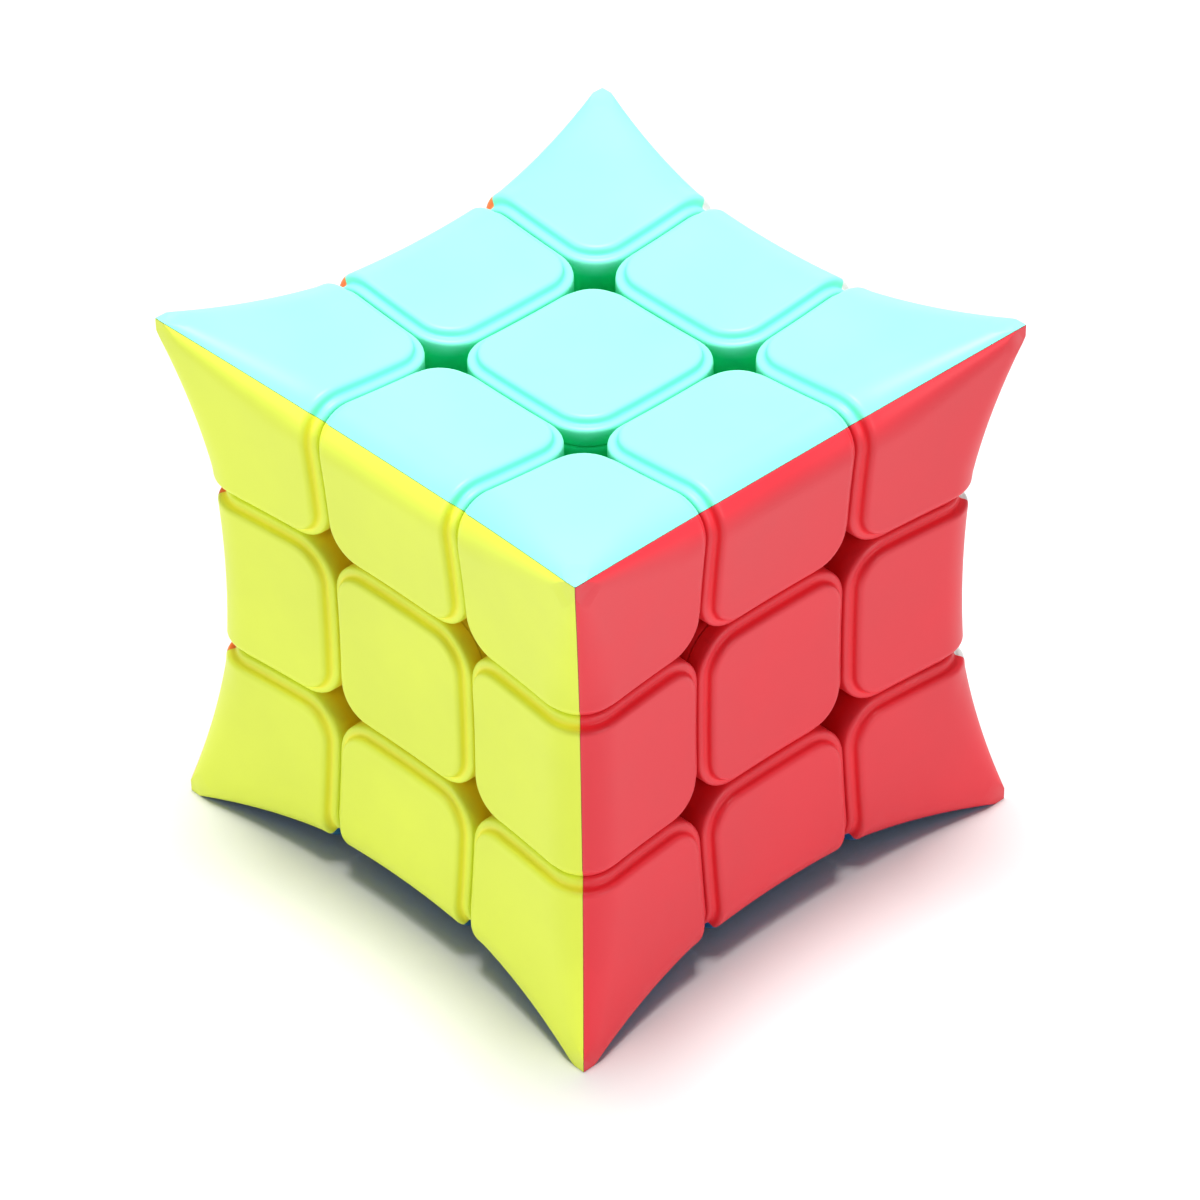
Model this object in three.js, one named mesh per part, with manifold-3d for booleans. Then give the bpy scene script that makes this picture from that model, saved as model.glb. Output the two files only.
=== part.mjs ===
/**
 * Dished 3 x 3 x 3 turning puzzle, built the way the real one is built.
 *
 * Twenty-six pieces show: eight corners, twelve edges and six centres. Every face of the whole body is hollowed
 * by one large sphere, so the body is a cube whose corners reach out like points of a star. Behind them a
 * six-armed core carries six screws. Each screw holds one centre through a spring and a washer, the centres
 * hold the edges by their feet, and the edges hold the corners by theirs. Two spheres and two sets of planes
 * part the pieces, so every layer can turn about its own axis.
 *
 * Millimetres, +Z up, origin at the middle of the core. Faces: up +Z, down -Z, front -Y, back +Y, right +X,
 * left -X.
 */
import * as THREE from "three";
import { mergeVertices } from "three/addons/utils/BufferGeometryUtils.js";
import Module from "manifold-3d";

// ---------------------------------------------------------------- driving dimensions

// How the layers part
const CUT = 9.5; // the outer planes between the layers, so the pieces have a pitch of twice this
const GAP = 0.4; // free space between neighbours at those planes
const INNER_CUT = 5.0; // the planes between the feet, inside the track
const LOCK = 3.55; // how far the track passes the innermost point of a corner, which holds the corner in
const TRACK_CLEARANCE = 0.7; // free space at the track's sphere
const FOOT_HEIGHT = 5.75; // thickness of the feet
const TRACK_STEP = 15; // degrees between the facets of the spheres

// The dished body
const POINT_REACH = 0.95; // how far a sharp point would reach past three pitches
const DISH_DEPTH = 4.55; // from there in to the middle of a dished face, along the face's axis
const TIP_CUT = 0.93; // how much the flats at the points take off a sharp point
const ROUND_MIDDLE = 5.2; // rounding of the body's edges, halfway along them
const ROUND_TIP = 0.8; // the same at the points

// The step round each tile
const TILE_CORNER = 4.4; // corner radius of a piece where four of them meet
const LEDGE = 0.85; // width of the ledge round each raised tile
const LEDGE_DROP = 0.75; // the ledge's depth below the tile
const LEDGE_FALL = 0.1; // how much the ledge falls to its outer edge

// Walls, hollows and feet
const WALL = 2.1; // side walls of the hollow pieces
const SKIN = 1.9; // thickness of the pieces under a tile's middle
const FLOOR = 1.65; // thickness of an edge's floor over the track
const FOOT_JOINT = 0.2; // free space between a corner and the foot in it
const FOOT_OPENING = 1.8; // how far along the diagonal the corner's hollow opens at the joint
const NECK_INSET = 1.0; // how far a corner's neck stands back from the corner's sides
const SPIGOT_RISE = 1.6; // how far the foot's spigot goes up the hollow
const FOOT_PORE = 1.6; // radius of the moulding hole through an edge's foot
const FOOT_POCKET = 2.2; // radius of the pocket in a corner's foot
const POCKET_SKIN = 1.0; // what is left between that pocket's end and the track

// The centres
const CAP_THICK = 2.3; // from the middle of the face down to the cap's seat
const CAP_SEAM = 0.1; // joint between cap and centre body
const SPIGOT_DEPTH = 1.2; // the cap's spigot, in the cup
const SPIGOT_FIT = 0.15;
const STEM_CLEARANCE = 0.4; // from the stem to the planes between the feet
const CUP = 3.2; // radius of the cup that holds the spring
const CUP_BASE = 1.8; // thickness of the cup's floor
const SCREW_HOLE = 1.5; // through the cup's floor

// The core
const HUB = 6.6; // radius of the ball in the middle
const ARM = 3.7; // radius of an arm
const ARM_END = 11.0;
const ARM_CHAMFER = 0.6;
const ARM_JOINT = 0.4; // free space between an arm's end and the stem on it
const SCREW_FIT = 0.1; // free space round the screw's shank
const BORE_END = 3.6; // how near to the middle the screw holes go

// Fasteners
const WASHER = { inner: 1.4, fit: 0.3, thick: 0.5, seat: 0.1 };
const SPRING = { fit: 0.5, wire: 0.35, turns: 4, seat: 0.1 };
const SPRING_LENGTH = 4.6; // from the washer to the screw's head
const SCREW = { fit: 0.6, headHigh: 1.6, shank: 1.15, end: 4.5, point: 1.0 };
const SCREW_SLOT = { long: 3.2, wide: 0.8, deep: 0.9 };

// ---------------------------------------------------------------- colours

const plastic = (color) => new THREE.MeshStandardMaterial({ color, roughness: 0.38, metalness: 0 });
const steel = (color) => new THREE.MeshStandardMaterial({ color, roughness: 0.3, metalness: 1 });
const FACE_PLASTIC = {
  up: plastic(0x8ff7e6),
  down: plastic(0x1f5fb4),
  front: plastic(0xe9f63f),
  back: plastic(0xf2f3f0),
  right: plastic(0xf5424f),
  left: plastic(0xff8a1e),
};
const INNER_PLASTIC = plastic(0xe6e8e4);
const CORE_PLASTIC = plastic(0x2b2d31);
const SCREW_STEEL = steel(0xb9bcc2);
const SPRING_STEEL = steel(0x9da2a8);

// ---------------------------------------------------------------- the dished body as a formula

const SHARP_TIP = 3 * CUT + POINT_REACH;
const TIP_FLAT = SHARP_TIP - TIP_CUT;
const FACE_MIDDLE = SHARP_TIP - DISH_DEPTH;

// Each face is hollowed by a sphere whose centre is this far out on the face's axis.
const DISH_CENTRE = (3 * SHARP_TIP ** 2 - FACE_MIDDLE ** 2) / (2 * (SHARP_TIP - FACE_MIDDLE));
const DISH_RADIUS = DISH_CENTRE - FACE_MIDDLE;
const SHARP_EDGE = (DISH_CENTRE - Math.sqrt(2 * DISH_RADIUS ** 2 - DISH_CENTRE ** 2)) / 2;
const EDGE_REACH = SHARP_EDGE * Math.SQRT2;
const TIP_REACH = SHARP_TIP * Math.sqrt(3);
const LEAST_ROUND = 0.3;

/** Where f rises through zero between low and high. */
function root(f, low, high) {
  for (let i = 0; i < 48; i++) {
    const middle = (low + high) / 2;
    if (f(middle) > 0) high = middle;
    else low = middle;
  }
  return (low + high) / 2;
}

/** How far the point lies outside the rounded body once its skin is taken in by drop. */
function outside(x, y, z, drop) {
  const along = THREE.MathUtils.clamp((Math.hypot(x, y, z) - EDGE_REACH) / (TIP_REACH - EDGE_REACH), 0, 1);
  const round = Math.max(THREE.MathUtils.lerp(ROUND_MIDDLE, ROUND_TIP, along) - drop, LEAST_ROUND);
  const beyond = [
    Math.hypot(x, y, z - DISH_CENTRE),
    Math.hypot(x, y - DISH_CENTRE, z),
    Math.hypot(x - DISH_CENTRE, y, z),
  ].map((away) => Math.max(DISH_RADIUS - away + drop + round, 0));
  return Math.hypot(...beyond) - round;
}

const faceHeight = (x, y, drop) => root((z) => outside(x, y, z, drop), Math.max(Math.abs(x), Math.abs(y)), 40);
const seamHeight = (along, drop) => root((e) => outside(along, e, e, drop), Math.abs(along), 40);
const raySeamHeight = (slope, drop) => root((e) => outside(slope * e, e, e, drop), 10, 40);

// ---------------------------------------------------------------- tiles as grids of points

const NEAR = CUT + GAP / 2; // a piece's side that faces a middle layer
const FAR = CUT - GAP / 2; // a middle layer's own side
const ARC_STEPS = 2;
const COLUMNS = 2;
const TOWARDS_SEAM = [0.45, 0.68, 0.86, 1]; // rows between a tile's corner arc and the seam
const CROWDING = 1.6; // how much closer together those rows lie at the tip

/** Rows of points over an edge's tile: x along the edge, y from the inner side out to the seam, z up. */
function edgeTile(inset, drop) {
  const arc = TILE_CORNER - inset;
  const half = FAR - inset;
  const arcEnd = NEAR + inset + arc;
  const spread = (reach, place) =>
    Array.from({ length: COLUMNS + 1 }, (_, i) => place(THREE.MathUtils.lerp(-reach, reach, i / COLUMNS)));
  const rows = [];
  for (let a = 0; a <= ARC_STEPS; a++) {
    const turn = (Math.PI / 2) * (a / ARC_STEPS);
    const y = arcEnd - arc * Math.cos(turn);
    rows.push(spread(half - arc + arc * Math.sin(turn), (x) => [x, y, faceHeight(x, y, drop)]));
  }
  for (const share of TOWARDS_SEAM) {
    rows.push(
      spread(half, (x) => {
        const seam = seamHeight(x, drop);
        const y = THREE.MathUtils.lerp(arcEnd, seam, share);
        return share === 1 ? [x, seam, seam] : [x, y, faceHeight(x, y, drop)];
      }),
    );
  }
  return rows;
}

/** Rows of points over a corner's tile. Both its inner sides start at the middle of their common arc. */
function cornerTile(inset, drop) {
  const arc = TILE_CORNER - inset;
  const inner = NEAR + inset;
  const seam = seamHeight(inner, drop);
  const side = [];
  for (let a = 0; a < ARC_STEPS; a++) {
    const turn = (Math.PI / 4) * (1 + a / (ARC_STEPS - 1));
    side.push([inner + arc * (1 - Math.cos(turn)), inner + arc * (1 - Math.sin(turn))]);
  }
  for (const share of TOWARDS_SEAM) side.push([THREE.MathUtils.lerp(inner + arc, seam, share), inner]);
  const last = side.length - 1;
  const share = side.map(([along]) => (along - side[0][0]) / (seam - side[0][0]));
  const rim = share.map((s) => {
    const slope = THREE.MathUtils.lerp(inner / seam, 1, 1 - (1 - s) ** CROWDING);
    const height = raySeamHeight(slope, drop);
    return [height, slope * height];
  });
  const corners = { near: side[0], seam: side[last], tip: rim[last] };
  const flip = ([a, b]) => [b, a];
  const blend = (i, j, k) => {
    const [s, t] = [share[i], share[j]];
    const sides = (1 - t) * side[i][k] + t * flip(rim[i])[k] + (1 - s) * flip(side[j])[k] + s * rim[j][k];
    const ends =
      (1 - s) * (1 - t) * corners.near[k] +
      s * (1 - t) * corners.seam[k] +
      (1 - s) * t * flip(corners.seam)[k] +
      s * t * corners.tip[k];
    return sides - ends;
  };
  return side.map((_, j) =>
    side.map((_, i) => {
      const [x, y] = [blend(i, j, 0), blend(i, j, 1)];
      if (i === last) return [x, y, x];
      return [x, y, j === last ? y : faceHeight(x, y, drop)];
    }),
  );
}

/** Rows of points over a centre's tile, or over a flat square of its outline where a level is given. */
function centreTile(inset, drop, level) {
  const arc = TILE_CORNER - inset;
  const half = FAR - inset;
  const rows = [];
  for (const end of [-1, 1]) {
    for (let a = 0; a <= ARC_STEPS; a++) {
      const turn = (Math.PI / 2) * ((end < 0 ? a : ARC_STEPS - a) / ARC_STEPS);
      const y = end * (half - arc + arc * Math.cos(turn));
      const reach = half - arc + arc * Math.sin(turn);
      rows.push(
        Array.from({ length: COLUMNS + 1 }, (_, i) => {
          const x = THREE.MathUtils.lerp(-reach, reach, i / COLUMNS);
          return [x, y, level ?? faceHeight(x, y, drop)];
        }),
      );
    }
  }
  return rows;
}

// ---------------------------------------------------------------- from grids to closed meshes

// The inner sides of a tile, counter-clockwise from one seam to the other, and a centre's whole outline.
const cornerRim = (rows) => [...rows.slice(1).reverse().map((row) => row[0]), ...rows[0]];
const openRim = (rows) => [...cornerRim(rows), ...rows.slice(1).map((row) => row.at(-1))];
const closedRim = (rows) => [...openRim(rows), ...rows.at(-1).slice(1, -1).reverse(), rows.at(-1)[0]];

const quad = (a, b, c, d) => [a, b, c, a, c, d];
const strip = (outer, inner) =>
  outer.slice(1).flatMap((_, i) => quad(outer[i], outer[i + 1], inner[i + 1], inner[i]));
const surface = (rows) => rows.slice(1).flatMap((row, j) => strip(rows[j], row));
const reversed = (points) => points.map((_, i) => points[i - (i % 3) + (2 - (i % 3))]);

/** From the wall's foot up over the ledge and onto the raised tile. */
function tileSkin(tile, rim, footUnder) {
  const ledgeEdge = rim(tile(0, LEDGE_DROP + LEDGE_FALL));
  const crease = rim(tile(LEDGE, LEDGE_DROP));
  const top = tile(LEDGE, 0);
  return [
    ...strip(ledgeEdge.map(footUnder), ledgeEdge),
    ...strip(ledgeEdge, crease),
    ...strip(crease, rim(top)),
    ...surface(top),
  ];
}

/** An edge's walls run down to where its two tiles' halves meet, and so do a corner's. */
function edgeBlock() {
  const half = tileSkin(edgeTile, openRim, ([x, y]) => [x, y, y]);
  return [...half, ...reversed(half).map(([x, y, z]) => [x, z, y])];
}

function cornerBlock() {
  const third = tileSkin(cornerTile, cornerRim, ([x, y]) => [x, y, Math.max(x, y)]);
  return [...third, ...third.map(([x, y, z]) => [z, x, y]), ...third.map(([x, y, z]) => [y, z, x])];
}

function capPlate() {
  const under = centreTile(0, 0, CAP_UNDERSIDE);
  return [...reversed(surface(under)), ...tileSkin(centreTile, closedRim, ([x, y]) => [x, y, CAP_UNDERSIDE])];
}

// ---------------------------------------------------------------- solids

const wasm = await Module();
wasm.setup();
const MERGE = 1e-4;

/** A closed three.js geometry as a solid that can be cut and joined. */
function solid(geometry) {
  const bare = new THREE.BufferGeometry();
  bare.setAttribute("position", geometry.getAttribute("position"));
  if (geometry.index) bare.setIndex(geometry.index);
  const merged = mergeVertices(bare, MERGE);
  return new wasm.Manifold(
    new wasm.Mesh({
      numProp: 3,
      vertProperties: merged.attributes.position.array,
      triVerts: new Uint32Array(merged.index.array),
    }),
  );
}

/** The same from bare triangles. Those that have shrunk to a line are left out. */
function solidFrom(points) {
  const apart = (a, b) => Math.hypot(a[0] - b[0], a[1] - b[1], a[2] - b[2]) > 10 * MERGE;
  const kept = [];
  for (let i = 0; i < points.length; i += 3) {
    const [a, b, c] = points.slice(i, i + 3);
    if (apart(a, b) && apart(b, c) && apart(c, a)) kept.push(...a, ...b, ...c);
  }
  const position = new THREE.Float32BufferAttribute(kept, 3);
  return solid(new THREE.BufferGeometry().setAttribute("position", position));
}

function geometryOf(made) {
  const mesh = made.getMesh();
  const position = new Float32Array(mesh.numVert * 3);
  for (let i = 0; i < mesh.numVert; i++) {
    position.set(mesh.vertProperties.subarray(i * mesh.numProp, i * mesh.numProp + 3), i * 3);
  }
  return new THREE.BufferGeometry()
    .setAttribute("position", new THREE.BufferAttribute(position, 3))
    .setIndex(new THREE.BufferAttribute(mesh.triVerts, 1));
}

const ball = (radius, step = TRACK_STEP) => solid(new THREE.SphereGeometry(radius, 360 / step, 180 / step));

function block(low, high) {
  const size = high.map((h, k) => h - low[k]);
  const middle = high.map((h, k) => (h + low[k]) / 2);
  return solid(new THREE.BoxGeometry(...size).translate(...middle));
}

const UP = new THREE.Vector3(0, 0, 1);

/** A round bar from low to high along a direction through the origin. */
function bar(radius, low, high, sides = 12, direction = UP) {
  const geometry = new THREE.CylinderGeometry(radius, radius, high - low, sides)
    .rotateX(Math.PI / 2)
    .translate(0, 0, (low + high) / 2);
  return solid(geometry.applyQuaternion(new THREE.Quaternion().setFromUnitVectors(UP, direction)));
}

/** A turned shape from its outline of radius and height. */
function turned(outline, sides = 12) {
  const points = outline.map(([radius, height]) => new THREE.Vector2(radius, height));
  return new THREE.LatheGeometry(points, sides).rotateX(Math.PI / 2);
}

/** Everything further out than a distance along a direction. */
function beyond(direction, distance) {
  const far = 80;
  const slab = new THREE.BoxGeometry(far, far, far).translate(0, 0, distance + far / 2);
  return solid(slab.applyQuaternion(new THREE.Quaternion().setFromUnitVectors(UP, direction)));
}

const TRACK = CUT * Math.sqrt(3) + LOCK;
const UNDER_TRACK = TRACK - TRACK_CLEARANCE / 2;
const OVER_TRACK = TRACK + TRACK_CLEARANCE / 2;
const FOOT_INNER = TRACK - FOOT_HEIGHT;
const FOOT_NEAR = INNER_CUT + GAP / 2;
const FOOT_FAR = INNER_CUT - GAP / 2;
const BITE = 0.3; // how far joined solids reach into one another
const CAVITY_TOP = FACE_MIDDLE - SKIN;
const EDGE_FLOOR = OVER_TRACK + FLOOR;
const HOLLOW = NEAR + WALL + FOOT_JOINT; // side planes of a corner's hollow
const FOOT_SEAT = HOLLOW * Math.sqrt(3) + FOOT_OPENING; // the joint between corner and foot, along the diagonal

/** An edge piece: a hollow block with two tiles, a neck through the track and a foot inside it. */
function edgePiece() {
  const diagonal = new THREE.Vector3(0, 1, 1).normalize();
  const foot = block([-FOOT_FAR, FOOT_NEAR, FOOT_NEAR], [FOOT_FAR, TRACK, TRACK]).intersect(ball(UNDER_TRACK));
  const neck = block([-FOOT_FAR, NEAR, NEAR], [FOOT_FAR, TRACK, TRACK]).subtract(
    beyond(diagonal, EDGE_FLOOR - BITE),
  );
  const hollow = block([WALL - FAR, NEAR + WALL, NEAR + WALL], [FAR - WALL, CAVITY_TOP, CAVITY_TOP]);
  const inwards = foot.add(neck).subtract(ball(FOOT_INNER));
  return solidFrom(edgeBlock())
    .subtract(ball(OVER_TRACK))
    .add(inwards)
    .subtract(hollow.intersect(beyond(diagonal, EDGE_FLOOR)))
    .subtract(bar(FOOT_PORE, FOOT_INNER / 2, EDGE_FLOOR + BITE, 8, diagonal));
}

const CORNER_DIAGONAL = new THREE.Vector3(1, 1, 1).normalize();
const cube = (low, high) => block([low, low, low], [high, high, high]);

/** A corner's outer part: three tiles on a hollow block that is open towards its foot. */
function cornerShell() {
  return solidFrom(cornerBlock())
    .intersect(cube(0, TIP_FLAT))
    .intersect(beyond(CORNER_DIAGONAL, FOOT_SEAT))
    .subtract(cube(HOLLOW, CAVITY_TOP));
}

/** A corner's foot: the part inside the track, its neck, and the spigot that the corner is fixed on. */
function cornerFoot() {
  const foot = cube(FOOT_NEAR, TRACK).intersect(ball(UNDER_TRACK)).subtract(ball(FOOT_INNER));
  const neck = cube(NEAR + NECK_INSET, CAVITY_TOP).subtract(beyond(CORNER_DIAGONAL, FOOT_SEAT - FOOT_JOINT));
  const spigot = cube(HOLLOW + FOOT_JOINT, CAVITY_TOP).subtract(beyond(CORNER_DIAGONAL, FOOT_SEAT + SPIGOT_RISE));
  const pocket = bar(FOOT_POCKET, FOOT_INNER / 2, TRACK - POCKET_SKIN, 8, CORNER_DIAGONAL);
  return foot.add(neck).add(spigot).subtract(pocket);
}

const CAP_UNDERSIDE = FACE_MIDDLE - CAP_THICK;
const STEM = INNER_CUT - STEM_CLEARANCE;
const STEM_END = ARM_END + ARM_JOINT;
const CUP_FLOOR = STEM_END + CUP_BASE;

/** A centre's coloured cap, with the spigot that fits the cup. */
function centreCap() {
  return solidFrom(capPlate()).add(bar(CUP - SPIGOT_FIT, CAP_UNDERSIDE - SPIGOT_DEPTH, CAP_UNDERSIDE + 0.5));
}

/** A centre's body: the square flange that holds the edges, and the stem with the spring's cup. */
function centreBody() {
  const level = CAP_UNDERSIDE - CAP_SEAM;
  const [under, over] = [centreTile(0, 0, STEM_END), centreTile(0, 0, level)];
  const prism = solidFrom([
    ...reversed(surface(under)),
    ...strip(closedRim(under), closedRim(over)),
    ...surface(over),
  ]);
  return prism
    .subtract(ball(OVER_TRACK))
    .add(bar(STEM, STEM_END, level))
    .subtract(bar(CUP, CUP_FLOOR, level + 1))
    .subtract(bar(SCREW_HOLE, STEM_END - 1, CUP_FLOOR + 1));
}

const WASHER_LOW = CUP_FLOOR + WASHER.seat;
const SPRING_LOW = WASHER_LOW + WASHER.thick + SPRING.seat;
const HEAD_LOW = SPRING_LOW + SPRING_LENGTH + SPRING.seat;

function washer() {
  const high = WASHER_LOW + WASHER.thick;
  const inner = WASHER.inner;
  const outer = CUP - WASHER.fit;
  return turned([[inner, WASHER_LOW], [outer, WASHER_LOW], [outer, high], [inner, high], [inner, WASHER_LOW]], 8);
}

/** The helix of the spring's wire. */
class Helix extends THREE.Curve {
  getPoint(t, target = new THREE.Vector3()) {
    const turn = 2 * Math.PI * SPRING.turns * t;
    const rise = SPRING_LENGTH - 2 * SPRING.wire;
    const height = SPRING_LOW + SPRING.wire + rise * t;
    const radius = CUP - SPRING.fit - SPRING.wire;
    return target.set(radius * Math.cos(turn), radius * Math.sin(turn), height);
  }
}

function spring() {
  const wire = new THREE.Shape().absarc(0, 0, SPRING.wire, 0, 2 * Math.PI);
  const steps = Math.round(SPRING.turns * 6);
  return new THREE.ExtrudeGeometry(wire, { steps, curveSegments: 3, extrudePath: new Helix() });
}

function screw() {
  const { fit, headHigh, shank, end, point } = SCREW;
  const head = CUP - fit;
  const outline = [[0, end], [shank, end + point], [shank, HEAD_LOW], [head, HEAD_LOW]];
  outline.push([head, HEAD_LOW + headHigh], [0, HEAD_LOW + headHigh]);
  const { long, wide, deep } = SCREW_SLOT;
  const [floor, over] = [HEAD_LOW + headHigh - deep, HEAD_LOW + headHigh + 1];
  return solid(turned(outline, 12))
    .subtract(block([-long / 2, -wide / 2, floor], [long / 2, wide / 2, over]))
    .subtract(block([-wide / 2, -long / 2, floor], [wide / 2, long / 2, over]));
}

/** The six-armed core with a screw hole down each arm. */
function core() {
  const outline = [[0, 0], [ARM, 0], [ARM, ARM_END - ARM_CHAMFER], [ARM - ARM_CHAMFER, ARM_END], [0, ARM_END]];
  let made = ball(HUB, 30);
  for (const turn of FACE_TURNS.values()) {
    const arm = solid(turned(outline).applyQuaternion(turn));
    const bore = new THREE.CylinderGeometry(SCREW.shank + SCREW_FIT, SCREW.shank + SCREW_FIT, ARM_END, 8)
      .rotateX(Math.PI / 2)
      .translate(0, 0, BORE_END + ARM_END / 2)
      .applyQuaternion(turn);
    made = made.add(arm).subtract(solid(bore));
  }
  return made;
}

// ---------------------------------------------------------------- assembly

const quarterTurns = (x, z) =>
  new THREE.Quaternion()
    .setFromAxisAngle(UP, (z * Math.PI) / 2)
    .multiply(new THREE.Quaternion().setFromAxisAngle(new THREE.Vector3(1, 0, 0), (x * Math.PI) / 2));

// Each turn carries the upward face's axis onto that face's axis.
const FACE_TURNS = new Map([
  ["up", quarterTurns(0, 0)],
  ["down", quarterTurns(2, 0)],
  ["front", quarterTurns(1, 0)],
  ["right", quarterTurns(1, 1)],
  ["back", quarterTurns(1, 2)],
  ["left", quarterTurns(1, 3)],
]);

const puzzle = new THREE.Group();

function place(name, geometry, material, parent) {
  const mesh = new THREE.Mesh(geometry, material);
  mesh.name = name;
  parent.add(mesh);
}

place("core", geometryOf(core()), CORE_PLASTIC, puzzle);

// One stack on each arm: screw, spring, washer, centre body and cap.
const stack = {
  body: geometryOf(centreBody()),
  cap: geometryOf(centreCap()),
  washer: washer(),
  spring: spring(),
  screw: geometryOf(screw()),
};
for (const [face, turn] of FACE_TURNS) {
  const arm = new THREE.Group();
  arm.quaternion.copy(turn);
  place(`centre_body_${face}`, stack.body, FACE_PLASTIC[face], arm);
  place(`centre_cap_${face}`, stack.cap, FACE_PLASTIC[face], arm);
  place(`washer_${face}`, stack.washer, SCREW_STEEL, arm);
  place(`spring_${face}`, stack.spring, SPRING_STEEL, arm);
  place(`screw_${face}`, stack.screw, SCREW_STEEL, arm);
  puzzle.add(arm);
}

// The edge shape is made for the up and back faces, and the corner shape for up, back and right. A turn of the
// ring carries them round, after a half turn for the down layer and a quarter turn for the middle one.
const edge = geometryOf(edgePiece());
const corner = { shell: geometryOf(cornerShell()), foot: geometryOf(cornerFoot()) };
const RING = ["back", "left", "front", "right"];
const RING_UNDER = ["front", "right", "back", "left"];
const onItsSide = new THREE.Quaternion().setFromAxisAngle(new THREE.Vector3(0, 1, 0), Math.PI / 2);

for (let k = 0; k < 4; k++) {
  for (const [layer, half, ring] of [["up", 0, RING], ["down", 2, RING_UNDER]]) {
    const seat = new THREE.Group();
    seat.quaternion.copy(quarterTurns(half, k));
    const side = half ? ring[(k + 1) % 4] : ring[(k + 3) % 4];
    place(`edge_${layer}_${ring[k]}`, edge, FACE_PLASTIC[layer], seat);
    place(`corner_${layer}_${ring[k]}_${side}`, corner.shell, FACE_PLASTIC[layer], seat);
    place(`corner_foot_${layer}_${ring[k]}_${side}`, corner.foot, INNER_PLASTIC, seat);
    puzzle.add(seat);
  }
  const middle = new THREE.Group();
  middle.quaternion.copy(quarterTurns(0, k).multiply(onItsSide));
  place(`edge_${RING[k]}_${RING[(k + 3) % 4]}`, edge, FACE_PLASTIC[RING[k]], middle);
  puzzle.add(middle);
}

export default puzzle;
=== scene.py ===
"""A star-shaped 3 x 3 x 3 turning puzzle in coloured plastic, on a pale floor."""

from math import cos, pi, radians, sin, sqrt, tau

import bmesh
import bpy
import numpy as np
from mathutils import Matrix, Vector


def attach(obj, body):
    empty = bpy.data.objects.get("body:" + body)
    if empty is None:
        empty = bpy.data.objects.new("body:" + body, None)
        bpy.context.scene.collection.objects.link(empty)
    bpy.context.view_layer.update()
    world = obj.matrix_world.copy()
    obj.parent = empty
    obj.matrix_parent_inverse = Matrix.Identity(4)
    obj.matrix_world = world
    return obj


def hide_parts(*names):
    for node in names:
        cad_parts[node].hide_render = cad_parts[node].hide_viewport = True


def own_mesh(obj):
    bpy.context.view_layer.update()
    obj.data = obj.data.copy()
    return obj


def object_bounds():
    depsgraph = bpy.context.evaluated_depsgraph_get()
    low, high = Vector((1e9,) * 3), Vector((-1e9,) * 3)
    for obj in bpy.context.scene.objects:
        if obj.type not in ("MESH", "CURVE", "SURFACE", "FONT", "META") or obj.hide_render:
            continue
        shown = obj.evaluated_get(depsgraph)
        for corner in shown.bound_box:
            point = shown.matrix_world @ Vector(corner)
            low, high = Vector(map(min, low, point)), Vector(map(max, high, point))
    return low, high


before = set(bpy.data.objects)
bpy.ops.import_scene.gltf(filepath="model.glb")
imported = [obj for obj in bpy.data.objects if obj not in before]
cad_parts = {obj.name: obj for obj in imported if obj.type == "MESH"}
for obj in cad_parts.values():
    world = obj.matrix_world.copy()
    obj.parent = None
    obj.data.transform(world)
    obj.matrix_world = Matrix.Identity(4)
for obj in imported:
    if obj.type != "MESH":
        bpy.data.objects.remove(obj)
cad_box = [list(corner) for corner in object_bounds()]

MM = 0.001

# ---------------------------------------------------------------- camera, floor and lights
# The puzzle stands on its four lower points on a seamless white table. A long lens looks down on its front
# vertical edge. A soft lamp hangs overhead, a little behind it, and three flagged ones fill its sides without
# reaching the table.

VIEW_AZIMUTH = radians(47.30)
VIEW_ELEVATION = radians(37.46)
VIEW_ROLL = radians(-0.88)
VIEW_DISTANCE = 500.0 * MM
VIEW_LENS = 156.5
# How far the puzzle's middle lies left of and above the middle of the view, at its own distance
VIEW_LEFT = 0.64 * MM
VIEW_ABOVE = 3.27 * MM

sin_a, cos_a = sin(VIEW_AZIMUTH), cos(VIEW_AZIMUTH)
sin_e, cos_e = sin(VIEW_ELEVATION), cos(VIEW_ELEVATION)
backward = Vector((sin_a * cos_e, -cos_a * cos_e, sin_e))
level_right = Vector((cos_a, sin_a, 0))
level_up = backward.cross(level_right)
right = cos(VIEW_ROLL) * level_right + sin(VIEW_ROLL) * level_up
up = backward.cross(right)
eye = backward * VIEW_DISTANCE
aim = right * VIEW_LEFT - up * VIEW_ABOVE
backward = (eye - aim).normalized()
right = (right - backward * right.dot(backward)).normalized()
up = backward.cross(right)

scene = bpy.context.scene
camera = bpy.data.objects.new("camera", bpy.data.cameras.new("camera"))
camera.data.lens = VIEW_LENS
camera.data.sensor_width = 36.0
camera.data.clip_start = 0.01
camera.matrix_world = Matrix((
    (right.x, up.x, backward.x, eye.x),
    (right.y, up.y, backward.y, eye.y),
    (right.z, up.z, backward.z, eye.z),
    (0, 0, 0, 1),
))
scene.collection.objects.link(camera)
scene.camera = camera


def new_mesh(name, points, faces):
    mesh = bpy.data.meshes.new(name)
    mesh.from_pydata([tuple(map(float, p)) for p in points], [], [tuple(map(int, f)) for f in faces])
    mesh.update()
    return mesh


def new_object(name, mesh):
    made = bpy.data.objects.new(name, mesh)
    scene.collection.objects.link(made)
    return made


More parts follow.
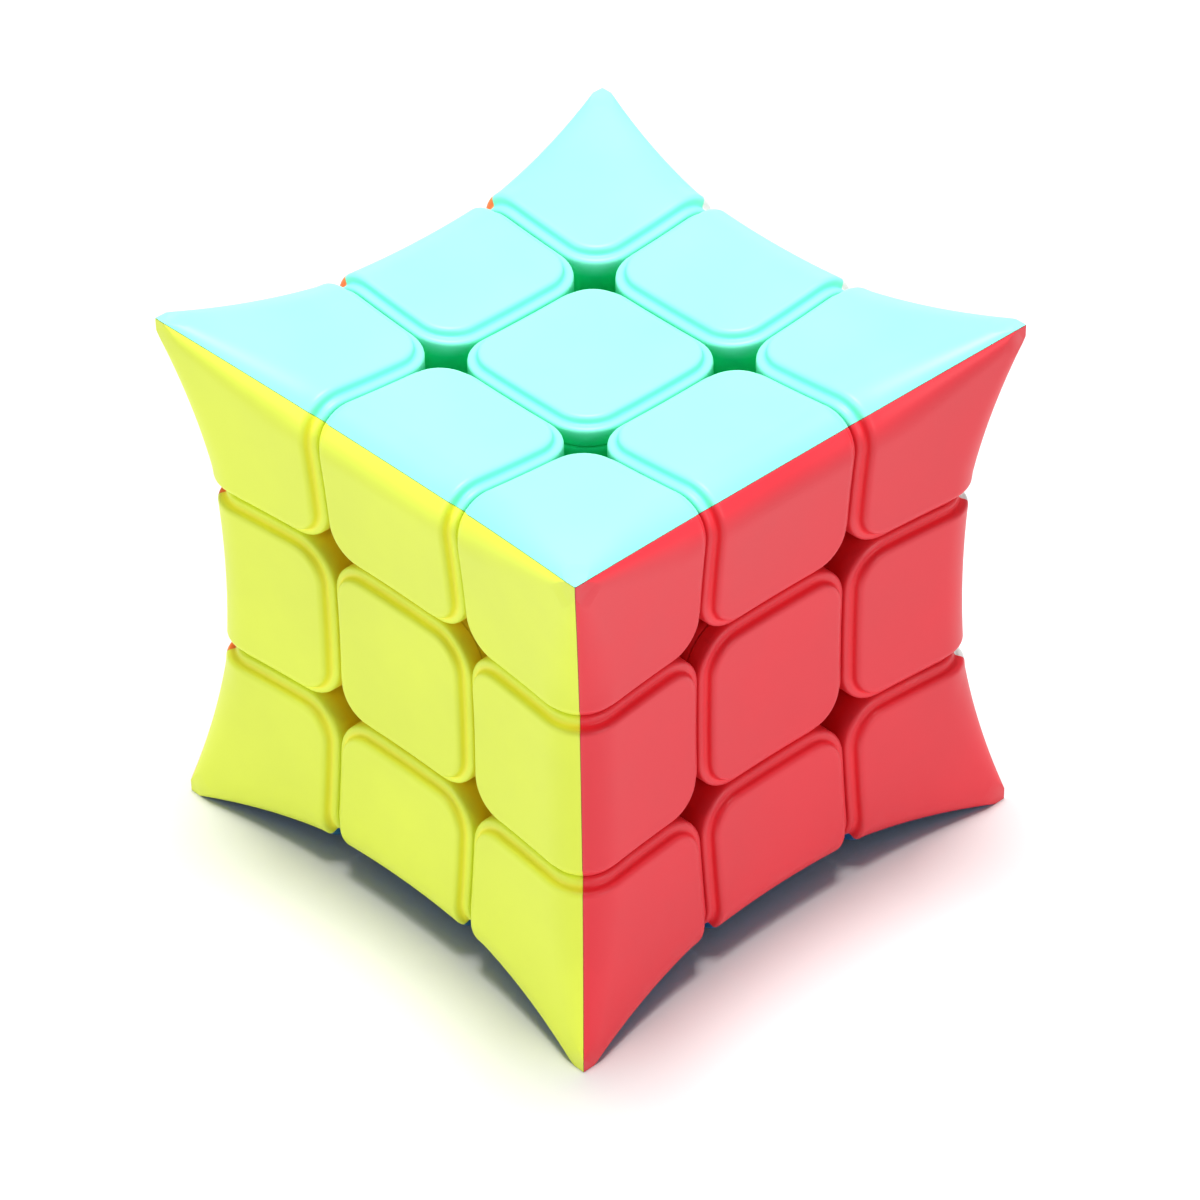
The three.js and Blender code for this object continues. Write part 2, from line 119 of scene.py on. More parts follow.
FLOOR_REACH = 4.0
TABLE_WHITE = 0.90
ROOM_LIGHT = 0.20
FLAG_SIZE = 0.45
floor_height = cad_box[0][2]
floor_corners = [(x * FLOOR_REACH, y * FLOOR_REACH, floor_height) for x, y in ((-1, -1), (1, -1), (1, 1), (-1, 1))]
floor = new_object("floor", new_mesh("floor", floor_corners, [(0, 1, 2, 3)]))
table_paint = bpy.data.materials.new("white_table")
table_paint.use_nodes = True
table_shader = table_paint.node_tree.nodes["Principled BSDF"]
table_shader.inputs["Base Color"].default_value = (TABLE_WHITE, TABLE_WHITE, TABLE_WHITE, 1)
table_shader.inputs["Roughness"].default_value = 0.8
table_shader.inputs["Specular IOR Level"].default_value = 0.1
floor.data.materials.append(table_paint)

scene.view_settings.view_transform = "Standard"
scene.view_settings.look = "None"
world = bpy.data.worlds.new("studio")
scene.world = world
world.use_nodes = True
world.node_tree.nodes["Background"].inputs["Color"].default_value = (1, 1, 1, 1)
world.node_tree.nodes["Background"].inputs["Strength"].default_value = ROOM_LIGHT

flagged = bpy.data.collections.new("flagged_off_the_table")
flagged.objects.link(floor)
flagged.collection_objects[0].light_linking.link_state = "EXCLUDE"


def soft_lamp(name, place, size, watts, kept_off=None):
    """A square lamp that faces the puzzle, flagged so that it doesn't reach what is in kept_off."""
    lamp = bpy.data.lights.new(name, "AREA")
    lamp.shape = "SQUARE"
    lamp.size = size
    lamp.energy = watts
    made = bpy.data.objects.new(name, lamp)
    made.location = place
    made.rotation_euler = Vector(place).to_track_quat("Z", "Y").to_euler()
    made.light_linking.receiver_collection = kept_off
    scene.collection.objects.link(made)


soft_lamp("lamp_above", (-0.045, 0.042, 0.85), 0.34, 9.9)
soft_lamp("lamp_left", (-0.25, -0.75, 0.30), FLAG_SIZE, 2.15, flagged)
soft_lamp("lamp_right", (0.80, 0.10, 0.30), FLAG_SIZE, 2.15, flagged)
soft_lamp("lamp_behind", (-0.56, 0.56, 0.16), FLAG_SIZE, 1.0, flagged)

# ---------------------------------------------------------------- the core
# A six-armed spider moulded in black plastic holds everything. Each arm flares into the hub and has a hole for
# one screw down its middle.


def turned_mesh(name, outline, sides, loop=False):
    """A mesh turned round z from an outline of (radius, height), given counter-clockwise."""
    points, rings = [], []
    for radius, height in outline:
        steps = sides if radius else 1
        rings.append([len(points) + i % steps for i in range(sides)])
        points += [(radius * cos(tau * i / sides), radius * sin(tau * i / sides), height) for i in range(steps)]
    faces = []
    for low, high in zip(rings, rings[1:] + rings[:1] if loop else rings[1:]):
        for i in range(sides):
            j = (i + 1) % sides
            ring = [low[i], low[j], high[j], high[i]]
            faces.append([n for k, n in enumerate(ring) if n not in ring[:k]])
    return new_mesh(name, points, faces)


def ball_mesh(name, radius, segments=96):
    steps = segments // 2
    outline = [(radius * sin(pi * i / steps), -radius * cos(pi * i / steps)) for i in range(steps + 1)]
    outline[0], outline[-1] = (0, -radius), (0, radius)
    return turned_mesh(name, outline, segments)


def box_mesh(name, low, high):
    points = [[(low, high)[c >> k & 1][k] for k in range(3)] for c in range(8)]
    return new_mesh(name, points, [(0, 2, 3, 1), (4, 5, 7, 6), (0, 1, 5, 4), (2, 6, 7, 3), (0, 4, 6, 2), (1, 3, 7, 5)])


# Points closer than this are one point, in millimetres.
WELD = 1e-4


def worked(mesh, *steps, bevel=0.0, sharp=38):
    """The mesh after joins and cuts with other meshes, with its sharp edges bevelled."""
    work = new_object("work", mesh)
    tools = []
    for operation, tool in steps:
        tools.append(new_object("tool", tool))
        modifier = work.modifiers.new("step", "BOOLEAN")
        modifier.solver = "EXACT"
        modifier.operation = operation
        modifier.object = tools[-1]
    if bevel:
        modifier = work.modifiers.new("bevel", "BEVEL")
        modifier.width = bevel
        modifier.segments = 2
        modifier.limit_method = "ANGLE"
        modifier.angle_limit = radians(sharp)
    made = bpy.data.meshes.new_from_object(work.evaluated_get(bpy.context.evaluated_depsgraph_get()))
    for used in [work, *tools]:
        bpy.data.objects.remove(used)
    return made


def finished(mesh, sharp=38):
    """The same mesh in metres, closed up and shaded smooth except over its sharp edges."""
    build = bmesh.new()
    build.from_mesh(mesh)
    bmesh.ops.remove_doubles(build, verts=build.verts, dist=WELD)
    bmesh.ops.dissolve_degenerate(build, edges=build.edges, dist=WELD)
    bmesh.ops.recalc_face_normals(build, faces=build.faces)
    build.to_mesh(mesh)
    build.free()
    mesh.transform(Matrix.Scale(MM, 4))
    mesh.shade_smooth()
    mesh.set_sharp_from_angle(angle=radians(sharp))
    return mesh


def place(name, mesh, turn, material, slot, nodes_replaced, body):
    """Puts a copy of the mesh, turned, in the frame as one piece of the puzzle."""
    copy = mesh.copy()
    copy.transform(turn.to_4x4())
    copy.materials.clear()
    copy.materials.append(material)
    piece = new_object(name, copy)
    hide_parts(*nodes_replaced)
    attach(piece, body)
    return piece


def shader_node(tree, kind, inputs=(), **settings):
    """A new node. Each input is a value or the socket that feeds it."""
    made = tree.nodes.new(f"ShaderNode{kind}")
    for key, value in settings.items():
        setattr(made, key, value)
    for key, value in dict(inputs).items():
        if isinstance(value, bpy.types.NodeSocket):
            tree.links.new(value, made.inputs[key])
        else:
            made.inputs[key].default_value = value
    return made


def shader_group(name, inputs, outputs):
    """An empty node group: (tree, its input sockets by name, a function that sets its outputs)."""
    tree = bpy.data.node_groups.new(name, "ShaderNodeTree")
    for label, (kind, value) in inputs.items():
        socket = tree.interface.new_socket(label, in_out="INPUT", socket_type=f"NodeSocket{kind}")
        socket.default_value = value
    for label, kind in outputs.items():
        tree.interface.new_socket(label, in_out="OUTPUT", socket_type=f"NodeSocket{kind}")
    given = tree.nodes.new("NodeGroupInput").outputs
    taken = tree.nodes.new("NodeGroupOutput").inputs

    def give(**sockets):
        for label, socket in sockets.items():
            tree.links.new(socket, taken[label])

    return tree, given, give


def calculate(tree, operation, *values):
    return shader_node(tree, "Math", enumerate(values), operation=operation).outputs[0]


def spread(tree, value, low, high, to_low, to_high):
    """Value from low to high carried over to to_low and to_high, and held there."""
    inputs = {"Value": value, "From Min": low, "From Max": high, "To Min": to_low, "To Max": to_high}
    return shader_node(tree, "MapRange", inputs).outputs["Result"]


def noise(tree, place_socket, scale, detail=2.0, rough=0.5):
    inputs = {"Vector": place_socket, "Scale": scale, "Detail": detail, "Roughness": rough}
    return shader_node(tree, "TexNoise", inputs).outputs["Fac"]


def mixed(tree, share, first, second, blend="MIX"):
    made = shader_node(tree, "Mix", {0: share, 6: first, 7: second}, data_type="RGBA", blend_type=blend)
    return made.outputs[2]


# How much painted highlight and polish the crests get, how far the creases turn to the painted shade colour and gain
# painted bounce light, and how much of the relief is fine grain
CREST_PAINTED_HIGHLIGHT = 0.02
CREST_POLISH = 0.06
CREASE_PAINTED_SHADE = 0.42
CREASE_PAINTED_BOUNCE = 1.12
GRAIN_SHARE = 0.35

# Moulded plastic: clouded by how the melt flowed. Painted shade and painted bounce light make it darker and richer in
# the creases and down in the holes, where light bounces between walls of one colour, and a faint painted highlight
# makes the crests paler; the crests are also smoother, where fingers polish them
moulded, given, give = shader_group(
    "moulded_surface",
    {
        "Open Colour": ("Color", (0.8, 0.8, 0.8, 1)),
        "Deep Colour": ("Color", (0.8, 0.8, 0.8, 1)),
        "Open Level": ("Float", 24.3 * MM),
        "Deep Level": ("Float", 22.9 * MM),
        "Base Roughness": ("Float", 0.42),
    },
    {"Colour": "Color", "Roughness": "Float", "Height": "Float"},
)
here = shader_node(moulded, "TexCoord").outputs["Object"]
axes = shader_node(moulded, "SeparateXYZ", {0: here}).outputs
across = [calculate(moulded, "ABSOLUTE", axis) for axis in axes]
level = calculate(moulded, "MAXIMUM", calculate(moulded, "MAXIMUM", across[0], across[1]), across[2])
openness = spread(moulded, level, given["Deep Level"], given["Open Level"], 0.0, 1.0)
bend = shader_node(moulded, "NewGeometry").outputs["Pointiness"]
crest = spread(moulded, bend, 0.51, 0.56, 0.0, 1.0)
crease = shader_node(moulded, "Attribute", attribute_name="crease").outputs["Fac"]
cloud = noise(moulded, here, 70.0, 3.0)
# Painted shade and bounce light: below the open level the colour turns to the darker, richer shade colour
body_colour = mixed(moulded, openness, given["Deep Colour"], given["Open Colour"])
# Painted shade: the creases turn towards the darker colour of the holes
body_colour = mixed(moulded, calculate(moulded, "MULTIPLY", crease, CREASE_PAINTED_SHADE), body_colour, given["Deep Colour"])
# Painted bounce light: the creases are then made a little brighter
body_colour = mixed(moulded, 1.0, body_colour, spread(moulded, crease, 0.0, 1.0, 1.0, CREASE_PAINTED_BOUNCE), "MULTIPLY")
# Painted highlight: the crests, found by pointiness, are mixed a little towards white
body_colour = mixed(moulded, calculate(moulded, "MULTIPLY", crest, CREST_PAINTED_HIGHLIGHT), body_colour, (1, 1, 1, 1))
body_colour = mixed(moulded, 1.0, body_colour, spread(moulded, cloud, 0.3, 0.7, 0.95, 1.03), "MULTIPLY")
dullness = calculate(moulded, "ADD", given["Base Roughness"], spread(moulded, cloud, 0.3, 0.7, -0.03, 0.04))
dullness = calculate(moulded, "ADD", dullness, spread(moulded, openness, 0.0, 1.0, 0.2, 0.0))
dullness = calculate(moulded, "SUBTRACT", dullness, calculate(moulded, "MULTIPLY", crest, CREST_POLISH))
grain = calculate(moulded, "MULTIPLY", noise(moulded, here, 2600.0), GRAIN_SHARE)
ripple = noise(moulded, here, 240.0, 1.0)
give(Colour=body_colour, Roughness=dullness, Height=calculate(moulded, "ADD", grain, ripple))


def grouped_material(name, group, relief, **inputs):
    """A material from a group that gives Colour, Roughness and Height: (material, its shader)."""
    material = bpy.data.materials.new(name)
    material.use_nodes = True
    tree = material.node_tree
    shader = tree.nodes["Principled BSDF"]
    surface = tree.nodes.new("ShaderNodeGroup")
    surface.node_tree = group
    for label, value in inputs.items():
        surface.inputs[label.replace("_", " ")].default_value = value
    tree.links.new(surface.outputs["Colour"], shader.inputs["Base Color"])
    tree.links.new(surface.outputs["Roughness"], shader.inputs["Roughness"])
    height = {"Height": surface.outputs["Height"], "Strength": 1.0, "Distance": relief}
    tree.links.new(shader_node(tree, "Bump", height).outputs["Normal"], shader.inputs["Normal"])
    return material, shader


MOULD_RELIEF = 0.004 * MM
MOULD_GLINT = 0.36


def moulded_plastic(name, open_colour, hole_shade_colour, **inputs):
    colours = {"Open_Colour": (*open_colour, 1), "Deep_Colour": (*hole_shade_colour, 1)}
    material, shader = grouped_material(name, moulded, MOULD_RELIEF, **colours, **inputs)
    shader.inputs["Specular IOR Level"].default_value = MOULD_GLINT
    return material


# Its second colour is painted shade, used down in the holes
black_plastic = moulded_plastic("black_plastic", (0.024, 0.025, 0.028), (0.018, 0.019, 0.022), Base_Roughness=0.42)

# Each turn carries the upward face's axis onto that face's axis.
FACES = {
    "up": Matrix.Identity(3),
    "down": Matrix.Rotation(pi, 3, "X"),
    "front": Matrix.Rotation(pi / 2, 3, "X"),
    "right": Matrix.Rotation(pi / 2, 3, "Z") @ Matrix.Rotation(pi / 2, 3, "X"),
    "back": Matrix.Rotation(pi, 3, "Z") @ Matrix.Rotation(pi / 2, 3, "X"),
    "left": Matrix.Rotation(-pi / 2, 3, "Z") @ Matrix.Rotation(pi / 2, 3, "X"),
}

HUB = 6.6
ARM_START = 1.5
ARM_ROOT = 4.9
ARM = 3.7
ARM_END = 11.0
ARM_CHAMFER = 0.6
ARM_OUTLINE = [(0, ARM_START), (ARM_ROOT, ARM_START), (ARM_ROOT, 5.0), (4.55, 5.6), (4.15, 6.4), (3.88, 7.3)]
ARM_OUTLINE += [(ARM, 8.4), (ARM, ARM_END - ARM_CHAMFER), (ARM - ARM_CHAMFER, ARM_END), (0, ARM_END)]
BORE = 1.25
BORE_END = 3.6
BORE_CONE = 0.7
BORE_OUTLINE = [(0, BORE_END), (BORE, BORE_END + BORE_CONE), (BORE, ARM_END + 1), (0, ARM_END + 1)]

core_steps = []
for operation, outline, sides in (("UNION", ARM_OUTLINE, 48), ("DIFFERENCE", BORE_OUTLINE, 24)):
    for turn in FACES.values():
        tool = turned_mesh("arm", outline, sides)
        tool.transform(turn.to_4x4())
        core_steps.append((operation, tool))
core_mesh = finished(worked(ball_mesh("core", HUB, 48), *core_steps, bevel=0.12))
place("spider_core", core_mesh, Matrix.Identity(3), black_plastic, "black_plastic", ["core"], "core")

# ---------------------------------------------------------------- screws
# Plated steel screws with a flat head and a cross slot hold the centres on. Their rolled threads cut into the
# core's arms, and turning them in or out sets how tight the layers turn.

SHANK = 1.15
SCREW_TIP = 4.5
THREAD_START = 5.5
THREAD_END = 17.0
THREAD_PITCH = 0.8
THREAD_DEPTH = 0.22
HEAD_LOW = 18.6
HEAD_HIGH = 20.2
HEAD = 2.6
SLOT_LONG = 3.2
SLOT_WIDE = 0.8
SLOT_DEEP = 0.9


def turned_steel(name, colour, relief, **inputs):
    material, shader = grouped_material(name, steel_group, relief, Metal_Colour=(*colour, 1), **inputs)
    shader.inputs["Metallic"].default_value = 1.0
    return material


# Plated steel: fine tool marks, with cloudy patches where oil has dulled it
steel_group, given, give = shader_group(
    "plated_surface",
    {
        "Metal Colour": ("Color", (0.6, 0.6, 0.6, 1)),
        "Tarnish Colour": ("Color", (0.30, 0.28, 0.25, 1)),
        "Base Roughness": ("Float", 0.28),
    },
    {"Colour": "Color", "Roughness": "Float", "Height": "Float"},
)
here = shader_node(steel_group, "TexCoord").outputs["Object"]
patches = spread(steel_group, noise(steel_group, here, 420.0, 4.0), 0.5, 0.75, 0.0, 0.5)
marks = noise(steel_group, here, 5200.0)
steel_tone = mixed(steel_group, patches, given["Metal Colour"], given["Tarnish Colour"])
steel_rough = calculate(steel_group, "ADD", given["Base Roughness"], calculate(steel_group, "MULTIPLY", patches, 0.3))
give(Colour=steel_tone, Roughness=steel_rough, Height=marks)
steel = turned_steel("steel", (0.62, 0.63, 0.66), 0.002 * MM)


def thread_groove(share):
    """How deep a rolled thread is, from 0 at its crest to 1 at its root, over one pitch."""
    return min(1.0, max(0.0, 1.5 - abs(2 * (share % 1.0) - 1) * 2))


SCREW_SIDES = 24
PITCH_ROWS = 7
RUN_OUT_ROWS = 6
screw_rows = [(0, SCREW_TIP, 0)]
thread_count = int((THREAD_END - THREAD_START) / THREAD_PITCH * PITCH_ROWS)
for i in range(thread_count + 1):
    height = THREAD_START + (THREAD_END - THREAD_START) * i / thread_count
    screw_rows.append((SHANK, height, THREAD_DEPTH * min(1.0, i / RUN_OUT_ROWS, (thread_count - i) / RUN_OUT_ROWS)))
screw_rows += [(SHANK, HEAD_LOW, 0), (HEAD - 0.15, HEAD_LOW, 0), (HEAD, HEAD_LOW + 0.15, 0)]
screw_rows += [(HEAD, HEAD_HIGH - 0.4, 0), (HEAD - 0.1, HEAD_HIGH - 0.15, 0), (HEAD - 0.4, HEAD_HIGH, 0)]
screw_rows += [(0, HEAD_HIGH, 0)]
screw_mesh = turned_mesh("screw", [(radius, height) for radius, height, _ in screw_rows], SCREW_SIDES)
for i, vertex in enumerate(screw_mesh.vertices):
    if i and i <= (thread_count + 1) * SCREW_SIDES:
        row, side = divmod(i - 1, SCREW_SIDES)
        _, height, deep = screw_rows[row + 1]
        groove = deep * thread_groove(height / THREAD_PITCH - side / SCREW_SIDES)
        vertex.co.xy *= (SHANK - groove) / SHANK
slots = []
for long_x, long_y in ((SLOT_LONG, SLOT_WIDE), (SLOT_WIDE, SLOT_LONG)):
    low = (-long_x / 2, -long_y / 2, HEAD_HIGH - SLOT_DEEP)
    slots.append(("DIFFERENCE", box_mesh("slot", low, (long_x / 2, long_y / 2, HEAD_HIGH + 1))))
screw_mesh = finished(worked(screw_mesh, *slots))
for face, turn in FACES.items():
    place(f"adjusting_screw_{face}", screw_mesh, turn, steel, "steel", [f"screw_{face}"], "core")

# ---------------------------------------------------------------- springs
# A short coil of spring wire stands on each screw between its head and the washer. Both end turns are closed,
# and it gives half a millimetre when a layer is forced sideways.

SPRING_LOW = 13.9
SPRING_HIGH = 18.5
SPRING_RADIUS = 2.35
WIRE = 0.35
END_TURNS = 1.0
FREE_TURNS = 2.5
CLOSED_PITCH = 2.06 * WIRE

spring_steel = turned_steel("spring_steel", (0.50, 0.51, 0.53), 0.002 * MM, Base_Roughness=0.34)
free_rise = SPRING_HIGH - SPRING_LOW - 2 * WIRE - 2 * END_TURNS * CLOSED_PITCH
turns_at = [0, END_TURNS, END_TURNS + FREE_TURNS, 2 * END_TURNS + FREE_TURNS]
heights_at = np.cumsum([SPRING_LOW + WIRE, END_TURNS * CLOSED_PITCH, free_rise, END_TURNS * CLOSED_PITCH])
WIRE_SIDES = 10
WIRE_STEPS = 150
WIRE_SLOPE = 0.06
turns = np.linspace(0, turns_at[-1], WIRE_STEPS)
heights = np.interp(turns, turns_at, heights_at)
spring_points, spring_faces = [], []
for i, (turn, height) in enumerate(zip(turns, heights)):
    outward = Vector((cos(tau * turn), sin(tau * turn), 0))
    onward = Vector((-outward.y, outward.x, WIRE_SLOPE)).normalized()
    upward = onward.cross(outward)
    middle = outward * SPRING_RADIUS + Vector((0, 0, height))
    for j in range(WIRE_SIDES):
        angle = tau * j / WIRE_SIDES
        spring_points.append(middle + WIRE * (cos(angle) * outward + sin(angle) * upward))
    if i:
        low, high = (i - 1) * WIRE_SIDES, i * WIRE_SIDES
        for j in range(WIRE_SIDES):
            k = (j + 1) % WIRE_SIDES
            spring_faces.append((low + j, low + k, high + k, high + j))
last = len(spring_points) - WIRE_SIDES
spring_faces += [tuple(range(WIRE_SIDES))[::-1], tuple(range(last, last + WIRE_SIDES))]
spring_mesh = finished(new_mesh("spring", spring_points, spring_faces))
for face, turn in FACES.items():
    coil = place(f"coil_spring_{face}", spring_mesh, turn, spring_steel, "spring_steel", [f"spring_{face}"], "core")
    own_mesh(coil)

# ---------------------------------------------------------------- washers
# A stamped steel washer lies loose at the bottom of each cup. It takes the spring's push, so that the coil doesn't
# wear the plastic.

WASHER_LOW = 13.3
WASHER_HIGH = 13.8
WASHER_INNER = 1.4
WASHER_OUTER = 2.9
STAMP_ROUND = 0.12
washer_outline = []
for radius, height, out_r, out_h in (
    (WASHER_INNER, WASHER_LOW, 1, 1),
    (WASHER_OUTER, WASHER_LOW, -1, 1),
    (WASHER_OUTER, WASHER_HIGH, -1, -1),
    (WASHER_INNER, WASHER_HIGH, 1, -1),
):
    corner = [(radius, height + out_h * STAMP_ROUND), (radius + out_r * STAMP_ROUND, height)]
    corner.insert(1, (radius + out_r * 0.3 * STAMP_ROUND, height + out_h * 0.3 * STAMP_ROUND))
    washer_outline += corner if out_r == out_h else corner[::-1]
washer_mesh = finished(turned_mesh("washer", washer_outline, 48, loop=True))
WASHER_MOVES_WITH = {"up": "up_washer", "down": "down_washer"}
for face, turn in FACES.items():
    body = WASHER_MOVES_WITH.get(face, f"{face}_centre")
    place(f"stamped_washer_{face}", washer_mesh, turn, steel, "steel", [f"washer_{face}"], body)

# ---------------------------------------------------------------- centre bodies
# A centre's body is a round stem with a cup for the spring, under a square flange that holds the edge pieces in.
# It is moulded in its face's colour, because its sides show down in the holes between the tiles.

# Each face's plastic, coloured right through: (name, colour in the open, colour down in the holes, darker and richer
# there as painted shade and painted bounce light)
PLASTIC_COLOURS = {
    "up": ("turquoise_plastic", (0.28, 0.94, 0.76), (0.001, 0.88, 0.38)),
    "down": ("blue_plastic", (0.012, 0.15, 0.36), (0.004, 0.07, 0.24)),
    "front": ("yellow_plastic", (0.80, 0.92, 0.075), (0.95, 0.74, 0.015)),
    "back": ("white_plastic", (0.86, 0.86, 0.84), (0.70, 0.69, 0.66)),
    "right": ("red_plastic", (0.83, 0.036, 0.054), (0.80, 0.003, 0.010)),
    "left": ("orange_plastic", (0.95, 0.24, 0.012), (0.75, 0.12, 0.003)),
}
PLASTICS = {face: moulded_plastic(*colours) for face, colours in PLASTIC_COLOURS.items()}

# The whole puzzle is one cube whose six faces are each hollowed by a large sphere, which leaves eight points.
# Its edges are rounded, most in their middle and least at the points. Every tile is a window of that surface.
FACE_MIDDLE = 24.9
SHARP_TIP = 29.45
TIP_FLAT = 28.52
ROUND_MIDDLE = 5.2
ROUND_TIP = 0.8
LEAST_ROUND = 0.3
DISH_CENTRE = (3 * SHARP_TIP**2 - FACE_MIDDLE**2) / (2 * (SHARP_TIP - FACE_MIDDLE))
DISH_RADIUS = DISH_CENTRE - FACE_MIDDLE
EDGE_REACH = (DISH_CENTRE - sqrt(2 * DISH_RADIUS**2 - DISH_CENTRE**2)) / sqrt(2)
TIP_REACH = SHARP_TIP * sqrt(3)

# How the pieces part: at planes between the layers, where their lips nearly touch, and at two spheres round the
# feet
CUT = 9.5
GAP = 0.2
NEAR = CUT + GAP / 2
FAR = CUT - GAP / 2
PIECE_CORNER = 4.4
OVER_TRACK = 20.354
UNDER_TRACK = 19.654

ARC_STEPS = 10
COLUMNS = 14


def outside(x, y, z, drop):
    """How far points lie outside the rounded body once its skin is taken in by drop."""
    along = np.clip((np.sqrt(x * x + y * y + z * z) - EDGE_REACH) / (TIP_REACH - EDGE_REACH), 0, 1)
    rounding = np.maximum(ROUND_MIDDLE + (ROUND_TIP - ROUND_MIDDLE) * along - drop, LEAST_ROUND)
    beyond = 0.0
    for a, b, c in ((x, y, z), (z, x, y), (y, z, x)):
        away = np.sqrt(a * a + b * b + (c - DISH_CENTRE) ** 2)
        beyond = beyond + np.maximum(DISH_RADIUS - away + drop + rounding, 0) ** 2
    return np.sqrt(beyond) - rounding


def root(f, low, high=40.0):
    """Where the array function f rises through zero between low and high."""
    low = np.array(low, float)
    high = np.full_like(low, high)
    for _ in range(44):
        middle = (low + high) / 2
        over = f(middle) > 0
        high = np.where(over, middle, high)
        low = np.where(over, low, middle)
    return (low + high) / 2


def face_height(x, y, drop):
    x, y, drop = np.broadcast_arrays(np.asarray(x, float), y, drop)
    return root(lambda z: outside(x, y, z, drop), np.maximum(np.abs(x), np.abs(y)))


def track_height(x, y):
    return np.sqrt(np.maximum(OVER_TRACK**2 - x**2 - y**2, 0))


def centre_grid(inset, drop, level=None):
    """Rows of points over a centre's tile, or over its outline at one level."""
    arc, half = PIECE_CORNER - inset, FAR - inset
    turn = np.linspace(0, pi / 2, ARC_STEPS + 1)
    low_y = -(half - arc + arc * np.cos(turn))
    reach = half - arc + arc * np.sin(turn)
    middle_y = np.linspace(-(half - arc), half - arc, COLUMNS + 1)[1:-1]
    y = np.concatenate([low_y, middle_y, -low_y[::-1]])
    reach = np.concatenate([reach, np.full(len(middle_y), half), reach[::-1]])
    x = reach[:, None] * np.linspace(-1, 1, COLUMNS + 1)[None, :]
    y = np.repeat(y[:, None], COLUMNS + 1, 1)
    z = face_height(x, y, drop) if level is None else np.full(x.shape, float(level))
    return np.stack([x, y, z], -1)


def closed_rim(n):
    return np.concatenate([n[::-1, 0], n[0, 1:], n[1:, -1], n[-1, -2:0:-1]])


def grid_faces(n, flip=False):
    faces = np.stack([n[:-1, :-1], n[:-1, 1:], n[1:, 1:], n[1:, :-1]], -1).reshape(-1, 4)
    return faces[:, ::-1] if flip else faces


def strip_faces(outer, inner, closed):
    """Faces between two rings of numbers that run the same way, the tile to their left."""
    if closed:
        outer, inner = np.append(outer, outer[0]), np.append(inner, inner[0])
    return np.stack([outer[:-1], outer[1:], inner[1:], inner[:-1]], -1)


def tile_block(name, grid, rim, underside, profile, seams=0):
    """A closed mesh: a tile's skin from its middle out over its profile, and an underside of the same grid.

    Its last row, and with two seams its last column too, ends on a plane where it meets its neighbour. The
    profile's third value says how much each ring lies in a crease, which gets painted shade and painted bounce light."""
    top = grid(*profile[0][:2])
    numbers = np.arange(top.shape[0] * top.shape[1]).reshape(top.shape[:2])
    points, shades = [top.reshape(-1, 3)], [np.full(numbers.size, profile[0][2])]
    outlines, count = [rim(numbers)], numbers.size
    for inset, drop, shade in profile[1:]:
        points.append(grid(inset, drop).reshape(-1, 3)[outlines[0]])
        shades.append(np.full(len(outlines[0]), shade))
        outlines.append(count + np.arange(len(outlines[0])))
        count += len(outlines[0])
    points.append(underside(grid(*profile[-1][:2])).reshape(-1, 3))
    shades.append(np.full(numbers.size, profile[-1][2]))
    under = count + numbers
    outlines.append(rim(under))
    sides = [strip_faces(outer, inner, seams == 0) for inner, outer in zip(outlines, outlines[1:])]
    faces = [*np.concatenate([grid_faces(numbers), *sides, grid_faces(under, flip=True)])]
    starts, ends = [ring[0] for ring in outlines[-2:0:-1]], [ring[-1] for ring in outlines[1:-1]]
    if seams == 1:
        faces.append([*numbers[-1], *ends, *under[-1][::-1], *starts])
    if seams == 2:
        faces.append([*numbers[-1], *under[-1][::-1], *starts])
        faces.append([*numbers[::-1, -1], *ends, *under[:, -1]])
    points = np.concatenate(points)
    # Points that coincide become one, and faces that this leaves without area go.
    _, first, number = np.unique(np.round(points / WELD).astype(int), axis=0, return_index=True, return_inverse=True)
    rings = [list(dict.fromkeys(number.reshape(-1)[face])) for face in faces]
    mesh = new_mesh(name, points[first], [ring for ring in rings if len(ring) > 2])
    crease = mesh.attributes.new("crease", "FLOAT", "POINT")
    crease.data.foreach_set("value", np.concatenate(shades)[first].astype(np.float32))
    return mesh


BODY_TOP = 22.5
BODY_PROFILE = [(0.6, 0.0, 0.0), (0.22, 0.0, 0.0), (0.07, 0.07, 0.0), (0.0, 0.22, 0.0), (0.0, 0.7, 0.0)]
STEM = 4.6
STEM_END = 11.4
CUP = 3.2
CUP_FLOOR = 13.2
SCREW_HOLE = 1.5


def on_track(rows):
    return np.stack([rows[..., 0], rows[..., 1], track_height(rows[..., 0], rows[..., 1])], -1)


def flat_grid(inset, drop):
    return centre_grid(inset, drop, BODY_TOP - drop)


STEM_SUNK = 0.5
STEM_OUTLINE = [(0, STEM_END), (STEM, STEM_END), (STEM, BODY_TOP - STEM_SUNK), (0, BODY_TOP - STEM_SUNK)]
CUP_OUTLINE = [(0, STEM_END - 1), (SCREW_HOLE, STEM_END - 1), (SCREW_HOLE, CUP_FLOOR), (CUP, CUP_FLOOR)]
CUP_OUTLINE += [(CUP, BODY_TOP + 1), (0, BODY_TOP + 1)]
body_mesh = tile_block("centre_body", flat_grid, closed_rim, on_track, BODY_PROFILE)
body_mesh = worked(
    body_mesh,
    ("UNION", turned_mesh("stem", STEM_OUTLINE, 48)),
    ("DIFFERENCE", turned_mesh("cup", CUP_OUTLINE, 48)),
)
body_mesh = finished(body_mesh)
CENTRE_MOVES_WITH = {face: f"{face}_layer" if face in ("up", "down") else f"{face}_centre" for face in FACES}
for face, turn in FACES.items():
    name, body = f"flanged_body_{face}", CENTRE_MOVES_WITH[face]
    place(name, body_mesh, turn, PLASTICS[face], PLASTIC_COLOURS[face][0], [f"centre_body_{face}"], body)
